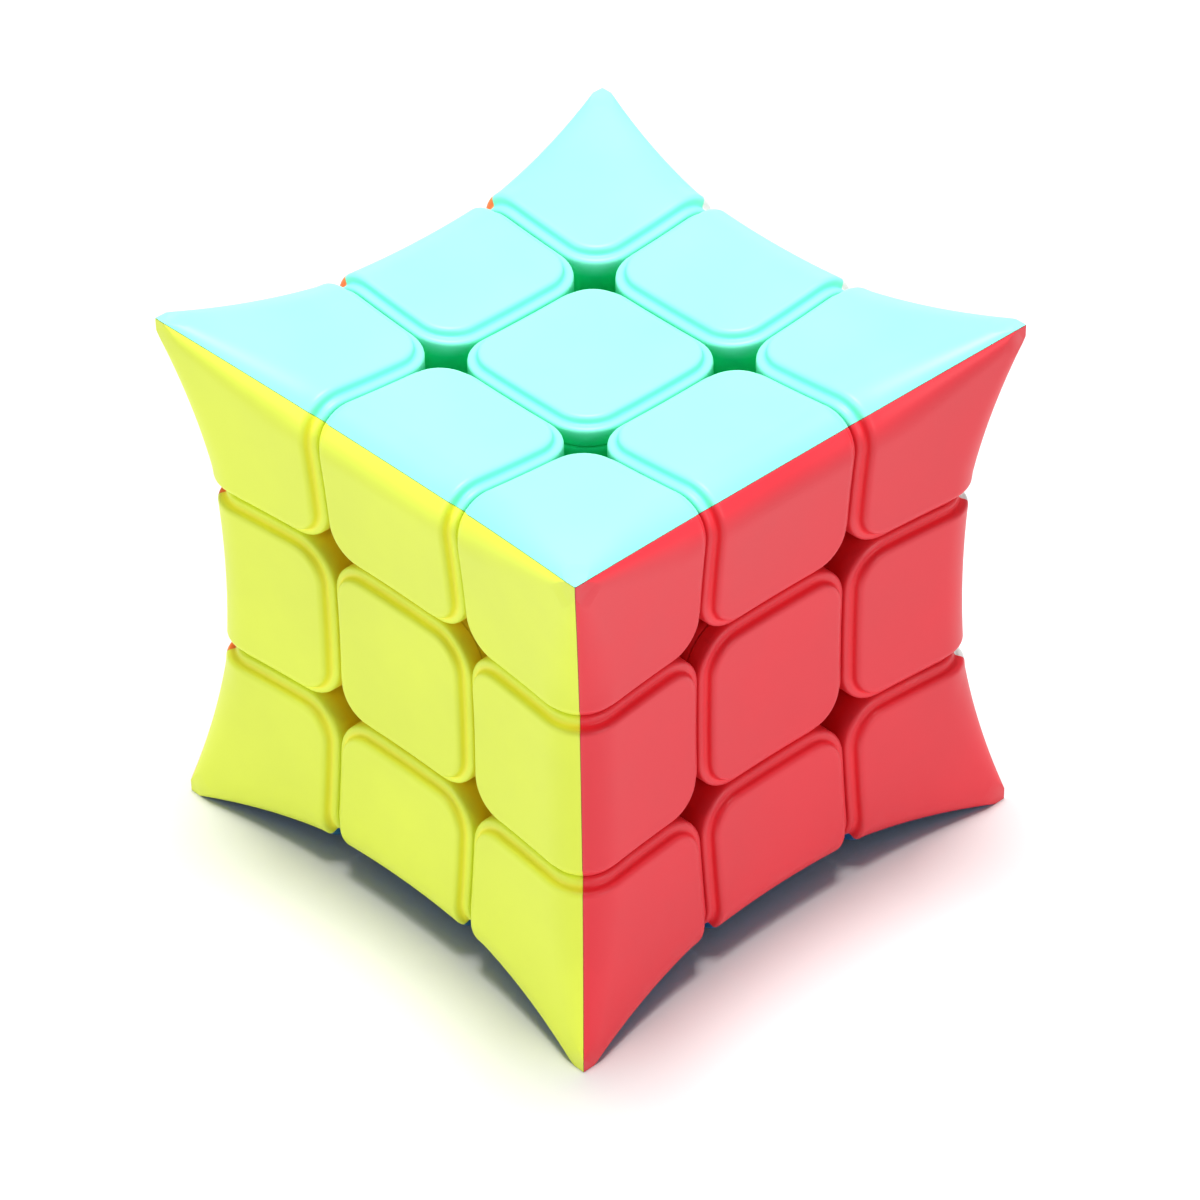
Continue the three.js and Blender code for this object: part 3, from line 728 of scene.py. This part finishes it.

# ---------------------------------------------------------------- centre caps
# A centre's cap is a thin square tile of one colour, moulded with a raised middle and a ledge round it. Its
# spigot is pressed into the cup over the screw, and its lower edge shows as a fine line in the holes.

# The raised tile's rim: (how far in from the piece's side, how far below the tile, how much in the crease, which sets
# its painted shade)
TILE_PROFILE = [
    (1.75, 0.00, 0.0), (1.50, 0.00, 0.0), (1.36, 0.02, 0.0), (1.22, 0.07, 0.0), (1.11, 0.15, 0.1),
    (1.03, 0.27, 0.4), (0.97, 0.42, 0.8), (0.93, 0.57, 1.0), (0.88, 0.69, 1.0), (0.80, 0.78, 1.0),
    (0.69, 0.82, 0.7), (0.54, 0.83, 0.3), (0.38, 0.84, 0.1), (0.24, 0.88, 0.0), (0.12, 0.96, 0.0),
    (0.04, 1.08, 0.1), (0.00, 1.26, 0.3), (0.00, 1.70, 0.5),
]
CAP_UNDERSIDE = 22.6
SPIGOT = 3.05
SPIGOT_DEPTH = 1.2


def flat_under(rows):
    return np.stack([rows[..., 0], rows[..., 1], np.full(rows.shape[:2], CAP_UNDERSIDE)], -1)


cap_mesh = tile_block("cap", centre_grid, closed_rim, flat_under, TILE_PROFILE)
SPIGOT_CHAMFER = 0.3
SPIGOT_SUNK = 0.5
spigot_end, spigot_root = CAP_UNDERSIDE - SPIGOT_DEPTH, CAP_UNDERSIDE + SPIGOT_SUNK
SPIGOT_OUTLINE = [(0, spigot_end), (SPIGOT - SPIGOT_CHAMFER, spigot_end), (SPIGOT, spigot_end + SPIGOT_CHAMFER)]
SPIGOT_OUTLINE += [(SPIGOT, spigot_root), (0, spigot_root)]
cap_mesh = finished(worked(cap_mesh, ("UNION", turned_mesh("spigot", SPIGOT_OUTLINE, 48))))
for face, turn in FACES.items():
    name, body = f"cap_{face}", CENTRE_MOVES_WITH[face]
    place(name, cap_mesh, turn, PLASTICS[face], PLASTIC_COLOURS[face][0], [f"centre_cap_{face}"], body)

# ---------------------------------------------------------------- edges
# An edge piece is two hollow half shells of different colours, pressed together on the slanting plane between
# their two faces, where a hairline shows. A pale foot glued in under them runs in the track below the centres.

HAIRLINE = 0.03
WALL = 2.1
CAVITY_TOP = 23.0
EDGE_FLOOR = 22.0
FOOT_NEAR = 5.2
FOOT_FAR = 4.8
FOOT_INNER = 14.254
FOOT_PORE = 1.6
PORE_START = 8
HOLLOW_START = 8.0
FOOT_BEVEL = 0.25
FOOT_BLOCK = 20
FOOT_SUNK = 0.4
SEAM_ROWS = 22
SEAM_CROWDING = 1.45


def seam_height(along, drop):
    along, drop = np.broadcast_arrays(np.asarray(along, float), drop)
    return root(lambda e: outside(along, e, e, drop), np.abs(along))


def seam_shares(count):
    """Shares from 0 to 1, closer together towards 1, where the body is rounded."""
    return 1 - (1 - np.arange(1, count + 1) / count) ** SEAM_CROWDING


def edge_grid(inset, drop):
    """Rows of points over an edge's tile: x along the edge, y from the inner side out to the seam, z up."""
    arc, half = PIECE_CORNER - inset, FAR - inset
    arc_end = NEAR + inset + arc
    turn = np.linspace(0, pi / 2, ARC_STEPS + 1)
    share = np.linspace(-1, 1, COLUMNS + 1)
    x_arc = (half - arc + arc * np.sin(turn))[:, None] * share[None, :]
    y_arc = np.repeat((arc_end - arc * np.cos(turn))[:, None], COLUMNS + 1, 1)
    x = half * share
    seam = seam_height(x, drop)
    y_rest = arc_end + seam_shares(SEAM_ROWS)[:, None] * (seam[None, :] - arc_end)
    x = np.concatenate([x_arc, np.repeat(x[None, :], SEAM_ROWS, 0)])
    y = np.concatenate([y_arc, y_rest])
    z = face_height(x, y, drop)
    z[-1] = seam
    return np.stack([x, y, z], -1)


def open_rim(n):
    return np.concatenate([n[:0:-1, 0], n[0], n[1:, -1]])


def edge_under(rows):
    """A half shell's inner side: the track's sphere, then the slanting plane between the colours."""
    x, y, z = rows[..., 0], rows[..., 1], rows[..., 2]
    return np.stack([x, y, np.minimum(np.maximum(track_height(x, y), y), z)], -1)


def half_space(direction, distance):
    """A large block that holds all beyond a distance along a direction."""
    slab = box_mesh("half_space", (-60, -60, 0), (60, 60, 60))
    slab.transform(Matrix.Translation((0, 0, distance)))
    slab.transform(direction.to_track_quat("Z", "Y").to_matrix().to_4x4())
    return slab


def bar_mesh(radius, low, high, direction):
    made = turned_mesh("bar", [(0, low), (radius, low), (radius, high), (0, high)], 32)
    made.transform(direction.to_track_quat("Z", "Y").to_matrix().to_4x4())
    return made


EDGE_DIAGONAL = Vector((0, 1, 1)).normalized()
hollow = worked(
    box_mesh("hollow", (WALL - FAR, NEAR + WALL, HOLLOW_START), (FAR - WALL, CAVITY_TOP, CAVITY_TOP)),
    ("INTERSECT", half_space(EDGE_DIAGONAL, EDGE_FLOOR)),
)
edge_mesh = tile_block("edge_shell", edge_grid, open_rim, edge_under, TILE_PROFILE, seams=1)
edge_mesh = worked(edge_mesh, ("DIFFERENCE", hollow))
edge_mesh.transform(Matrix.Translation((0, 0, HAIRLINE)))
edge_mesh = finished(edge_mesh)

edge_foot_mesh = worked(
    box_mesh("foot", (-FOOT_FAR, FOOT_NEAR, FOOT_NEAR), (FOOT_FAR, FOOT_BLOCK, FOOT_BLOCK)),
    ("INTERSECT", ball_mesh("track", UNDER_TRACK)),
    ("UNION", box_mesh("neck", (-FOOT_FAR, NEAR, NEAR), (FOOT_FAR, FOOT_BLOCK, FOOT_BLOCK))),
    ("DIFFERENCE", half_space(EDGE_DIAGONAL, EDGE_FLOOR - FOOT_SUNK)),
    ("DIFFERENCE", ball_mesh("inside", FOOT_INNER)),
    ("DIFFERENCE", bar_mesh(FOOT_PORE, PORE_START, EDGE_FLOOR + 1, EDGE_DIAGONAL)),
    bevel=FOOT_BEVEL,
)
edge_foot_mesh = finished(edge_foot_mesh)
# Its second, much darker colour is painted shade, used down in the holes
inner_plastic = moulded_plastic("inner_plastic", (0.46, 0.48, 0.47), (0.13, 0.14, 0.14), Base_Roughness=0.40)

RING = ["back", "left", "front", "right"]
RING_UNDER = ["front", "right", "back", "left"]
OTHER_HALF = Matrix(((-1, 0, 0), (0, 0, 1), (0, 1, 0)))


def quarter_turns(x, z):
    return Matrix.Rotation(z * pi / 2, 3, "Z") @ Matrix.Rotation(x * pi / 2, 3, "X")


def place_edge(node, seat, first, second, body):
    place(f"{node}_foot", edge_foot_mesh, seat, inner_plastic, "inner_plastic", [node], body)
    for face, turn in ((first, seat), (second, seat @ OTHER_HALF)):
        place(f"{node}_{face}", edge_mesh, turn, PLASTICS[face], PLASTIC_COLOURS[face][0], [node], body)


for k in range(4):
    for layer, half, ring in (("up", 0, RING), ("down", 2, RING_UNDER)):
        place_edge(f"edge_{layer}_{ring[k]}", quarter_turns(half, k), layer, ring[k], f"{layer}_layer")
    first, second = RING[k], RING[(k + 3) % 4]
    place_edge(f"edge_{first}_{second}", quarter_turns(0, k) @ Matrix.Rotation(pi / 2, 3, "Y"), second, first, "core")

# ---------------------------------------------------------------- corners
# A corner piece is three hollow shells of different colours round one point. They are clipped together over the
# spigot of a pale foot, which the edges' feet hold in.

CROWDING = 1.6
FOOT_JOINT = 0.2
HOLLOW = NEAR + WALL + FOOT_JOINT
FOOT_SEAT = 22.585
NECK_INSET = 1.0
SPIGOT_RISE = 1.6
FOOT_POCKET = 2.2
POCKET_END = 19.0


def ray_seam_height(slope, drop):
    slope, drop = np.broadcast_arrays(np.asarray(slope, float), drop)
    return root(lambda e: outside(slope * e, e, e, drop), np.full(slope.shape, 10.0))


def corner_grid(inset, drop):
    """Rows of points over a corner's tile. Both its inner sides start at the middle of their common arc."""
    arc, inner = PIECE_CORNER - inset, NEAR + inset
    seam = float(seam_height(inner, drop))
    turn = np.linspace(pi / 4, pi / 2, ARC_STEPS // 2 + 1)
    along = np.concatenate([
        inner + arc * (1 - np.cos(turn)),
        inner + arc + seam_shares(SEAM_ROWS) * (seam - inner - arc),
    ])
    across = np.concatenate([inner + arc * (1 - np.sin(turn)), np.full(SEAM_ROWS, inner)])
    side = np.stack([along, across], -1)
    share = (along - along[0]) / (seam - along[0])
    slope = inner / seam + (1 - inner / seam) * (1 - (1 - share) ** CROWDING)
    height = ray_seam_height(slope, drop)
    edge = np.stack([height, slope * height], -1)
    s, t = share[None, :, None], share[:, None, None]
    from_sides = (1 - t) * side[None] + t * edge[None, :, ::-1] + (1 - s) * side[:, None, ::-1] + s * edge[:, None]
    from_ends = (1 - s) * (1 - t) * side[0] + s * (1 - t) * side[-1]
    from_ends = from_ends + (1 - s) * t * side[-1][::-1] + s * t * edge[-1]
    x, y = np.moveaxis(from_sides - from_ends, -1, 0)
    z = face_height(x, y, drop)
    z[:, -1] = x[:, -1]
    z[-1] = y[-1]
    return np.stack([x, y, z], -1)


def corner_rim(n):
    return np.concatenate([n[:0:-1, 0], n[0]])


def corner_under(rows):
    """A third shell's inner side: the joint with the foot, then the two slanting planes between the colours."""
    x, y, z = rows[..., 0], rows[..., 1], rows[..., 2]
    joint = FOOT_SEAT * sqrt(3) - x - y
    return np.stack([x, y, np.minimum(np.maximum(joint, np.maximum(x, y)), z)], -1)


CORNER_DIAGONAL = Vector((1, 1, 1)).normalized()
corner_mesh = tile_block("corner_shell", corner_grid, corner_rim, corner_under, TILE_PROFILE, seams=2)
corner_mesh = worked(
    corner_mesh,
    ("DIFFERENCE", box_mesh("hollow", (HOLLOW,) * 3, (CAVITY_TOP,) * 3)),
    ("DIFFERENCE", half_space(Vector((0, 0, 1)), TIP_FLAT - HAIRLINE)),
)
corner_mesh.transform(Matrix.Translation((0, 0, HAIRLINE)))
corner_mesh = finished(corner_mesh)

neck = worked(
    box_mesh("neck", (NEAR + NECK_INSET,) * 3, (CAVITY_TOP,) * 3),
    ("DIFFERENCE", half_space(CORNER_DIAGONAL, FOOT_SEAT - FOOT_JOINT)),
)
spigot = worked(
    box_mesh("spigot", (HOLLOW + FOOT_JOINT,) * 3, (CAVITY_TOP,) * 3),
    ("DIFFERENCE", half_space(CORNER_DIAGONAL, FOOT_SEAT + SPIGOT_RISE)),
)
corner_foot_mesh = worked(
    box_mesh("foot", (FOOT_NEAR,) * 3, (FOOT_BLOCK,) * 3),
    ("INTERSECT", ball_mesh("track", UNDER_TRACK)),
    ("DIFFERENCE", ball_mesh("inside", FOOT_INNER)),
    ("UNION", neck),
    ("UNION", spigot),
    ("DIFFERENCE", bar_mesh(FOOT_POCKET, PORE_START, POCKET_END, CORNER_DIAGONAL)),
    bevel=FOOT_BEVEL,
)
corner_foot_mesh = finished(corner_foot_mesh)

NEXT_THIRD = Matrix(((0, 0, 1), (1, 0, 0), (0, 1, 0)))
for k in range(4):
    for layer, half, ring in (("up", 0, RING), ("down", 2, RING_UNDER)):
        seat = quarter_turns(half, k)
        beside = ring[(k + 3) % 4] if layer == "up" else ring[(k + 1) % 4]
        ending, body = f"{layer}_{ring[k]}_{beside}", f"{layer}_layer"
        foot_node = f"corner_foot_{ending}"
        place(f"foot_of_{ending}", corner_foot_mesh, seat, inner_plastic, "inner_plastic", [foot_node], body)
        for face in (layer, beside, ring[k]):
            name, slot = f"corner_{ending}_{face}", PLASTIC_COLOURS[face][0]
            place(name, corner_mesh, seat, PLASTICS[face], slot, [f"corner_{ending}"], body)
            seat = seat @ NEXT_THIRD
